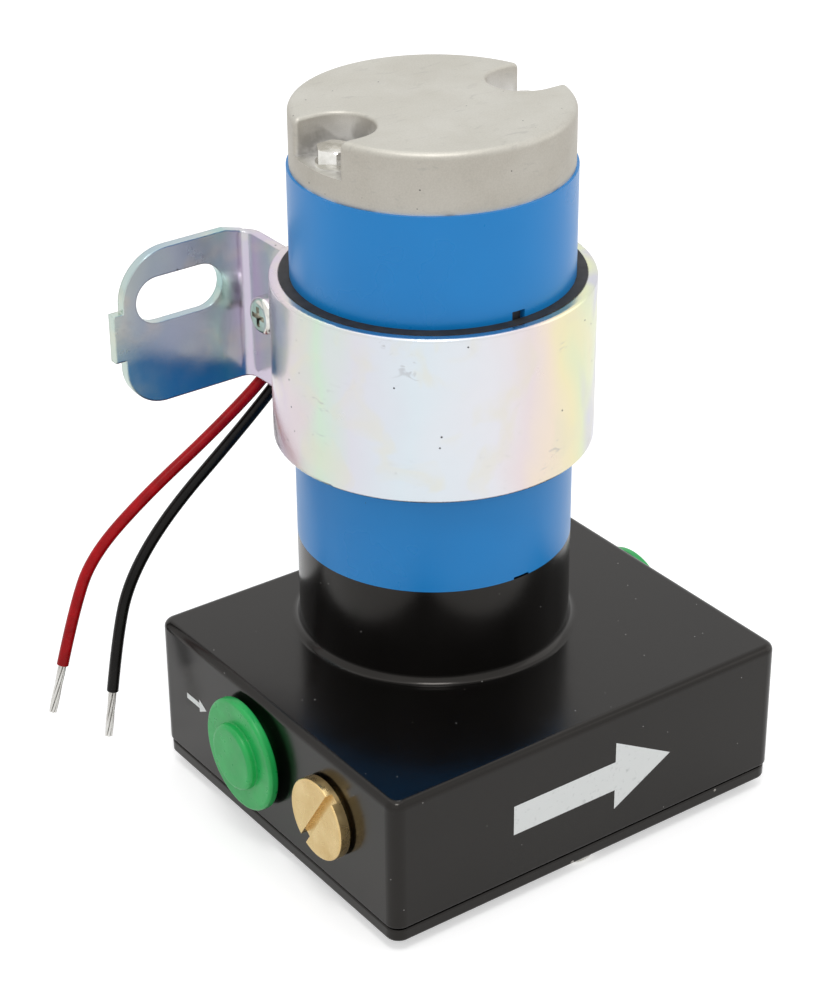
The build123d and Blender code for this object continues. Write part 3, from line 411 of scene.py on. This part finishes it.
def green_plastic(name):
    """Semi-gloss moulded plastic, a little uneven."""
    material, tree, shader = surface(name, (0.011, 0.34, 0.08), roughness=0.32, specular=0.45)
    cloudy = noise(tree, size=0.006, detail=2.0)
    color_with(tree, shader, ramp(tree, cloudy, [(0.3, (0.010, 0.38, 0.080)), (0.7, (0.016, 0.46, 0.100))]))
    shader.inputs["Subsurface Weight"].default_value = 0.05
    shader.inputs["Subsurface Radius"].default_value = (0.001, 0.002, 0.001)
    roughen(tree, shader, noise(tree, size=0.002, detail=3.0), low=0.26, high=0.42)
    bump(tree, shader, noise(tree, size=0.0011, detail=2.0), depth=0.00002, strength=0.2, edge_r=soft_edge_r)
    return material


def turned_brass(name):
    """Brass with faint turning rings and a dull bloom."""
    material, tree, shader = surface(name, (0.72, 0.52, 0.22), roughness=0.3, metallic=1.0)
    bloom = noise(tree, size=0.005, detail=4.0)
    color_with(tree, shader, ramp(tree, bloom, [(0.3, (0.68, 0.48, 0.21)), (0.7, (0.80, 0.60, 0.30))]))
    roughen(tree, shader, noise(tree, size=0.002, detail=4.0), low=0.22, high=0.42)
    rings = noise(tree, size=0.0005, detail=3.0, stretch=(6.0, 1, 1))
    bump(tree, shader, rings, depth=0.00001, strength=0.3)
    return material


def rubber(name):
    """Matt black rubber."""
    material, tree, shader = surface(name, (0.022, 0.021, 0.021), roughness=0.6, specular=0.35)
    bloom = noise(tree, size=0.003, detail=4.0)
    color_with(tree, shader, ramp(tree, bloom, [(0.3, (0.016, 0.015, 0.015)), (0.75, (0.04, 0.038, 0.037))]))
    bump(tree, shader, noise(tree, size=0.0007, detail=3.0), depth=0.00004, strength=0.5)
    return material


def insulation(name, dark, light):
    """Extruded wire insulation with a slight shine."""
    material, tree, shader = surface(name, light, roughness=0.28, specular=0.18)
    color_with(tree, shader, ramp(tree, noise(tree, size=0.004, detail=3.0), [(0.3, dark), (0.7, light)]))
    roughen(tree, shader, noise(tree, size=0.0015, detail=3.0), low=0.20, high=0.34)
    bump(tree, shader, noise(tree, size=0.0012, detail=2.0), depth=0.00003, strength=0.15)
    return material


def bare_metal(name, dark, light, roughness, grain_stretch=(1, 1, 1)):
    """A machined or rolled metal, told apart by its colours, roughness and the way its grain runs."""
    material, tree, shader = surface(name, light, roughness, metallic=1.0)
    color_with(tree, shader, ramp(tree, noise(tree, size=0.004, detail=4.0), [(0.3, dark), (0.7, light)]))
    patches = noise(tree, size=0.002, detail=4.0)
    roughen(tree, shader, patches, low=roughness * 0.8, high=roughness * 1.25)
    grain = noise(tree, size=0.0006, detail=3.0, stretch=grain_stretch)
    bump(tree, shader, grain, depth=0.00002, strength=0.4)
    return material


def dull_solid(name, dark, light, roughness, grain_size):
    """A pressed or sintered material with an even grain."""
    material, tree, shader = surface(name, light, roughness, specular=0.35)
    patches = noise(tree, size=grain_size * 6, detail=4.0)
    color_with(tree, shader, ramp(tree, patches, [(0.3, dark), (0.7, light)]))
    bump(tree, shader, noise(tree, size=grain_size, detail=3.0), depth=0.00004, strength=0.5)
    return material


def white_print(name):
    """Screen-printed white ink, a little thin in places."""
    material, tree, shader = surface(name, (0.78, 0.80, 0.79), roughness=0.45)
    cover = noise(tree, size=0.0012, detail=4.0)
    color_with(tree, shader, ramp(tree, cover, [(0.2, (0.62, 0.64, 0.63)), (0.4, (0.80, 0.82, 0.81))]))
    bump(tree, shader, noise(tree, size=0.0005, detail=2.0), depth=0.00001, strength=0.4)
    return material


def build_materials():
    """Every material slot of the record, by name."""
    return {
        "black_casting": black_paint("black_casting", nick_share=0.0),
        "plate_black": black_paint("plate_black", nick_share=0.45),
        "gasket_paper": dull_solid(
            "gasket_paper", (0.02, 0.018, 0.016), (0.05, 0.045, 0.04), roughness=0.8, grain_size=0.0005),
        "zinc_steel": pale_zinc("zinc_steel"),
        "zinc_iridescent": iridescent_zinc("zinc_iridescent"),
        "cast_aluminium": cast_aluminium("cast_aluminium"),
        "can_blue": blue_paint("can_blue"),
        "green_plastic": green_plastic("green_plastic"),
        "brass_turned": turned_brass("brass_turned"),
        "bronze_sintered": bare_metal(
            "bronze_sintered", (0.34, 0.2, 0.09), (0.5, 0.32, 0.16), roughness=0.5),
        "black_rubber": rubber("black_rubber"),
        "plain_steel": bare_metal(
            "plain_steel", (0.42, 0.42, 0.43), (0.6, 0.6, 0.6), roughness=0.25, grain_stretch=(1, 1, 8)),
        "rotor_steel": bare_metal(
            "rotor_steel", (0.26, 0.26, 0.27), (0.4, 0.4, 0.4), roughness=0.4),
        "lamination_steel": bare_metal(
            "lamination_steel", (0.2, 0.2, 0.21), (0.34, 0.34, 0.35), roughness=0.4,
            grain_stretch=(1, 1, 12)),
        "magnet_ferrite": dull_solid(
            "magnet_ferrite", (0.05, 0.05, 0.052), (0.1, 0.1, 0.102), roughness=0.6, grain_size=0.0008),
        "copper": bare_metal(
            "copper", (0.55, 0.24, 0.12), (0.78, 0.42, 0.26), roughness=0.3, grain_stretch=(1, 1, 10)),
        "brown_laminate": dull_solid(
            "brown_laminate", (0.12, 0.06, 0.025), (0.24, 0.13, 0.06), roughness=0.5, grain_size=0.0006),
        "carbon": dull_solid(
            "carbon", (0.02, 0.02, 0.02), (0.05, 0.05, 0.05), roughness=0.55, grain_size=0.0004),
        "red_insulation": insulation("red_insulation", (0.28, 0.001, 0.003), (0.44, 0.002, 0.006)),
        "black_insulation": insulation("black_insulation", (0.003, 0.0025, 0.002), (0.007, 0.006, 0.005)),
        "tinned_copper": bare_metal(
            "tinned_copper", (0.5, 0.48, 0.45), (0.8, 0.79, 0.76), roughness=0.28),
    }


def paint_nodes(materials):
    """Gives each CAD node the material of its slot."""
    for part in frame["record"]["subparts"]:
        node = frame["nodes"].get(part["node"])
        if node is None:
            continue
        node.data.materials.clear()
        node.data.materials.append(materials[part["material_slot"]])


def add_object(name, data, material):
    """A mesh or curve in the scene, with its one material."""
    obj = bpy.data.objects.new(name, data)
    bpy.context.collection.objects.link(obj)
    obj.data.materials.append(material)
    return obj


def round_curve(name, radius, ring_steps):
    """A curve whose splines are drawn as closed round tubes."""
    curve = bpy.data.curves.new(name, "CURVE")
    curve.dimensions = "3D"
    curve.bevel_depth = radius
    curve.bevel_resolution = ring_steps
    curve.use_fill_caps = True
    return curve


def add_spline(curve, places):
    """One smooth spline that starts at the first place, ends at the last and is led by those between."""
    spline = curve.splines.new("NURBS")
    spline.points.add(len(places) - 1)
    for point, place in zip(spline.points, places):
        point.co = (*place, 1.0)
    spline.order_u = spline_order
    spline.use_endpoint_u = True


def insulated_wire(name, route, material):
    """A lead as a smooth tube that follows its route's points."""
    curve = round_curve(name, lead_diameter / 2, lead_ring_steps)
    curve.resolution_u = lead_steps
    add_spline(curve, route)
    return add_object(name, curve, material)


def bare_end(name, route, material):
    """The lead's bare tinned end: a ring of strands twisted round one in the middle."""
    end = Vector(route[-1])
    way = (end - Vector(route[-2])).normalized()
    across = way.orthogonal().normalized()
    other = way.cross(across)
    curve = round_curve(name, strand_r, strand_ring_steps)
    for i in range(strands_round + 1):
        spread = 0.0 if i == strands_round else strand_bundle_r
        start_turn = 2 * math.pi * i / strands_round
        places = []
        for step in range(strand_steps + 1):
            share = step / strand_steps
            turn = start_turn + 2 * math.pi * strand_twist * share
            place = end + way * (strand_length * share)
            place += (across * math.cos(turn) + other * math.sin(turn)) * spread
            places.append(place)
        add_spline(curve, places)
    return add_object(name, curve, material)


def add_lead(color, route, materials):
    """One lead with its bare end, in place of its CAD solids."""
    tube = insulated_wire(f"{color}_wire", route, materials[f"{color}_insulation"])
    ends = bare_end(f"{color}_wire_strands", route, materials["tinned_copper"])
    for piece, node, slot in ((tube, f"{color}_lead", f"{color}_insulation"),
                              (ends, f"{color}_lead_strands", "tinned_copper")):
        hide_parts(node)
        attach(piece, "pump")


def coil_mesh(name, low, high, way, wire_r, turns):
    """A round-wire helix that fills a box, wound round the box's middle line along a way."""
    middle = (low + high) / 2
    size = high - low
    length = abs(size.dot(way))
    side = way.orthogonal().normalized()
    other = way.cross(side)
    outer_r = max(abs(size.dot(side)), abs(size.dot(other))) / 2
    coil_r = outer_r - wire_r
    steps = turns * spring_steps_a_turn
    rise = (length - 2 * wire_r) / steps
    points = []
    for step in range(steps + 1):
        turn = 2 * math.pi * step / spring_steps_a_turn
        outward = side * math.cos(turn) + other * math.sin(turn)
        onward = other * math.cos(turn) - side * math.sin(turn)
        along = (onward * (2 * math.pi * coil_r / spring_steps_a_turn) + way * rise).normalized()
        upward = outward.cross(along)
        place = middle + outward * coil_r + way * (step * rise + wire_r - length / 2)
        for i in range(spring_ring_points):
            angle = 2 * math.pi * i / spring_ring_points
            points.append(tuple(place + (outward * math.cos(angle) + upward * math.sin(angle)) * wire_r))
    faces = [tuple(range(spring_ring_points))]
    for step in range(steps):
        for i in range(spring_ring_points):
            j = (i + 1) % spring_ring_points
            start = step * spring_ring_points
            ahead = start + spring_ring_points
            faces.append((start + i, ahead + i, ahead + j, start + j))
    faces.append(tuple(reversed(range(steps * spring_ring_points, (steps + 1) * spring_ring_points))))
    mesh = bpy.data.meshes.new(name)
    mesh.from_pydata(points, [], faces)
    for face in mesh.polygons:
        face.use_smooth = len(face.vertices) == 4
    return mesh


def add_spring(name, node, way, wire_r, turns, material):
    """A coil spring in its CAD solid's place."""
    way = Vector(way)
    low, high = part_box(node)
    obj = add_object(name, coil_mesh(name, low, high, way, wire_r, turns), material)
    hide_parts(node)
    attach(obj, "pump")
    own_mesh(obj)


def add_springs(steel):
    """The relief valve's spring and the two brush springs."""
    add_spring("relief_coil", "relief_spring", (-1, 0, 0),
               relief_wire_r, relief_turns, steel)
    add_spring("front_brush_coil", "front_brush_spring", (0, -1, 0),
               brush_wire_r, brush_turns, steel)
    add_spring("rear_brush_coil", "rear_brush_spring", (0, 1, 0),
               brush_wire_r, brush_turns, steel)


def arrow_outline(length):
    """Outline of a plain arrow along +X, centred."""
    half = length / 2
    head = length * 0.36
    shaft = length * 0.085
    wing = length * 0.2
    return [
        (-half, -shaft), (half - head, -shaft), (half - head, -wing), (half, 0.0),
        (half - head, wing), (half - head, shaft), (-half, shaft),
    ]


def printed_arrow(name, length, place, along, up, material):
    """A flat arrow printed on a face: a place, the way it points and the face's upward way."""
    normal = Vector(along).cross(Vector(up))
    start = Vector(place) + normal * print_height
    points = [start + Vector(along) * u + Vector(up) * v for u, v in arrow_outline(length)]
    mesh = bpy.data.meshes.new(name)
    mesh.from_pydata([tuple(p) for p in points], [], [tuple(range(len(points)))])
    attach(add_object(name, mesh, material), "pump")


def add_prints():
    """White flow arrows beside the inlet and on the front face."""
    ink = white_print("white_ink")
    low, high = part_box("pump_body")
    plug_low, plug_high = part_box("inlet_plug")
    plug = (plug_low + plug_high) / 2
    beside = (low.x, plug.y + inlet_arrow_back, plug.z)
    printed_arrow("inlet_arrow", inlet_arrow_length, beside, (0, -1, 0), (0, 0, 1), ink)
    front = ((low.x + high.x) / 2, low.y, low.z + front_arrow_up)
    printed_arrow("front_arrow", front_arrow_length, front, (1, 0, 0), (0, 0, 1), ink)


def floor_material():
    """Matt white with a glow that only the camera, gloss and glass see."""
    material = bpy.data.materials.new("floor_white")
    material.use_nodes = True
    tree = material.node_tree
    tree.nodes.clear()
    output = tree.nodes.new("ShaderNodeOutputMaterial")
    diffuse = tree.nodes.new("ShaderNodeBsdfDiffuse")
    diffuse.inputs["Color"].default_value = (floor_white, floor_white, floor_white, 1)
    glow = tree.nodes.new("ShaderNodeEmission")
    paths = tree.nodes.new("ShaderNodeLightPath")
    to_camera = math_node(tree, "MULTIPLY", paths.outputs["Is Camera Ray"], floor_glow_to_camera)
    bent = math_node(tree, "MAXIMUM", paths.outputs["Is Glossy Ray"], paths.outputs["Is Transmission Ray"])
    mirrored = math_node(tree, "MULTIPLY", bent, floor_glow_in_gloss)
    tree.links.new(math_node(tree, "MAXIMUM", to_camera, mirrored), glow.inputs["Strength"])
    total = tree.nodes.new("ShaderNodeAddShader")
    tree.links.new(diffuse.outputs["BSDF"], total.inputs[0])
    tree.links.new(glow.outputs["Emission"], total.inputs[1])
    tree.links.new(total.outputs["Shader"], output.inputs["Surface"])
    return material


def add_floor():
    """A white floor that keeps the object's shadow."""
    half, z = floor_half, cad_low.z
    corners = [(-half, -half, z), (half, -half, z), (half, half, z), (-half, half, z)]
    mesh = bpy.data.meshes.new("floor")
    mesh.from_pydata(corners, [], [(0, 1, 2, 3)])
    add_object("floor", mesh, floor_material())


def add_world():
    """White surroundings: full white to the eye and in reflections, softer as a light."""
    world = bpy.data.worlds.new("surroundings")
    bpy.context.scene.world = world
    world.use_nodes = True
    tree = world.node_tree
    background = tree.nodes["Background"]
    background.inputs["Color"].default_value = (1, 1, 1, 1)
    paths = tree.nodes.new("ShaderNodeLightPath")
    seen = math_node(tree, "MAXIMUM", paths.outputs["Is Camera Ray"], paths.outputs["Is Glossy Ray"])
    seen = math_node(tree, "MAXIMUM", seen, paths.outputs["Is Transmission Ray"])
    lift = math_node(tree, "MULTIPLY", seen, world_lift_when_seen)
    tree.links.new(math_node(tree, "ADD", lift, world_as_light), background.inputs["Strength"])


def add_lamp(name, place, size, power):
    """A square soft lamp that points at the motor can."""
    light = bpy.data.lights.new(name, "AREA")
    light.size = size
    light.energy = power
    lamp = bpy.data.objects.new(name, light)
    bpy.context.collection.objects.link(lamp)
    lamp.location = place
    lamp.rotation_euler = (Vector(lamp_target) - Vector(place)).to_track_quat("-Z", "Y").to_euler()


def add_lamps():
    """A small high key over the camera, a faint one on the left, a fill on the right and one overhead."""
    add_lamp("key", place=(-0.33, -0.5, 1.3), size=0.4, power=4.4)
    add_lamp("side", place=(-0.9, -0.8, 0.8), size=1.2, power=0.5)
    add_lamp("fill", place=(1.1, -0.6, 0.5), size=1.0, power=1.6)
    add_lamp("overhead", place=(0.1, 0.2, 1.3), size=1.4, power=2.8)


def add_camera():
    """The camera at the photograph's place and angle."""
    data = bpy.data.cameras.new("camera")
    data.sensor_width = sensor_size
    data.lens = camera_focal_px * sensor_size / photo_height_px
    camera = bpy.data.objects.new("camera", data)
    bpy.context.collection.objects.link(camera)
    turn = Matrix.Rotation(math.radians(-camera_azimuth), 4, "Z")
    tilt = Matrix.Rotation(math.radians(90 - camera_elevation), 4, "X")
    roll = Matrix.Rotation(math.radians(camera_roll), 4, "Z")
    camera.matrix_world = Matrix.Translation(camera_place) @ turn @ tilt @ roll
    bpy.context.scene.camera = camera


bpy.context.scene.view_settings.view_transform = "Standard"
materials = build_materials()
paint_nodes(materials)
add_lead("red", red_route, materials)
add_lead("black", black_route, materials)
add_springs(materials["plain_steel"])
add_prints()
add_floor()
add_world()
add_lamps()
add_camera()
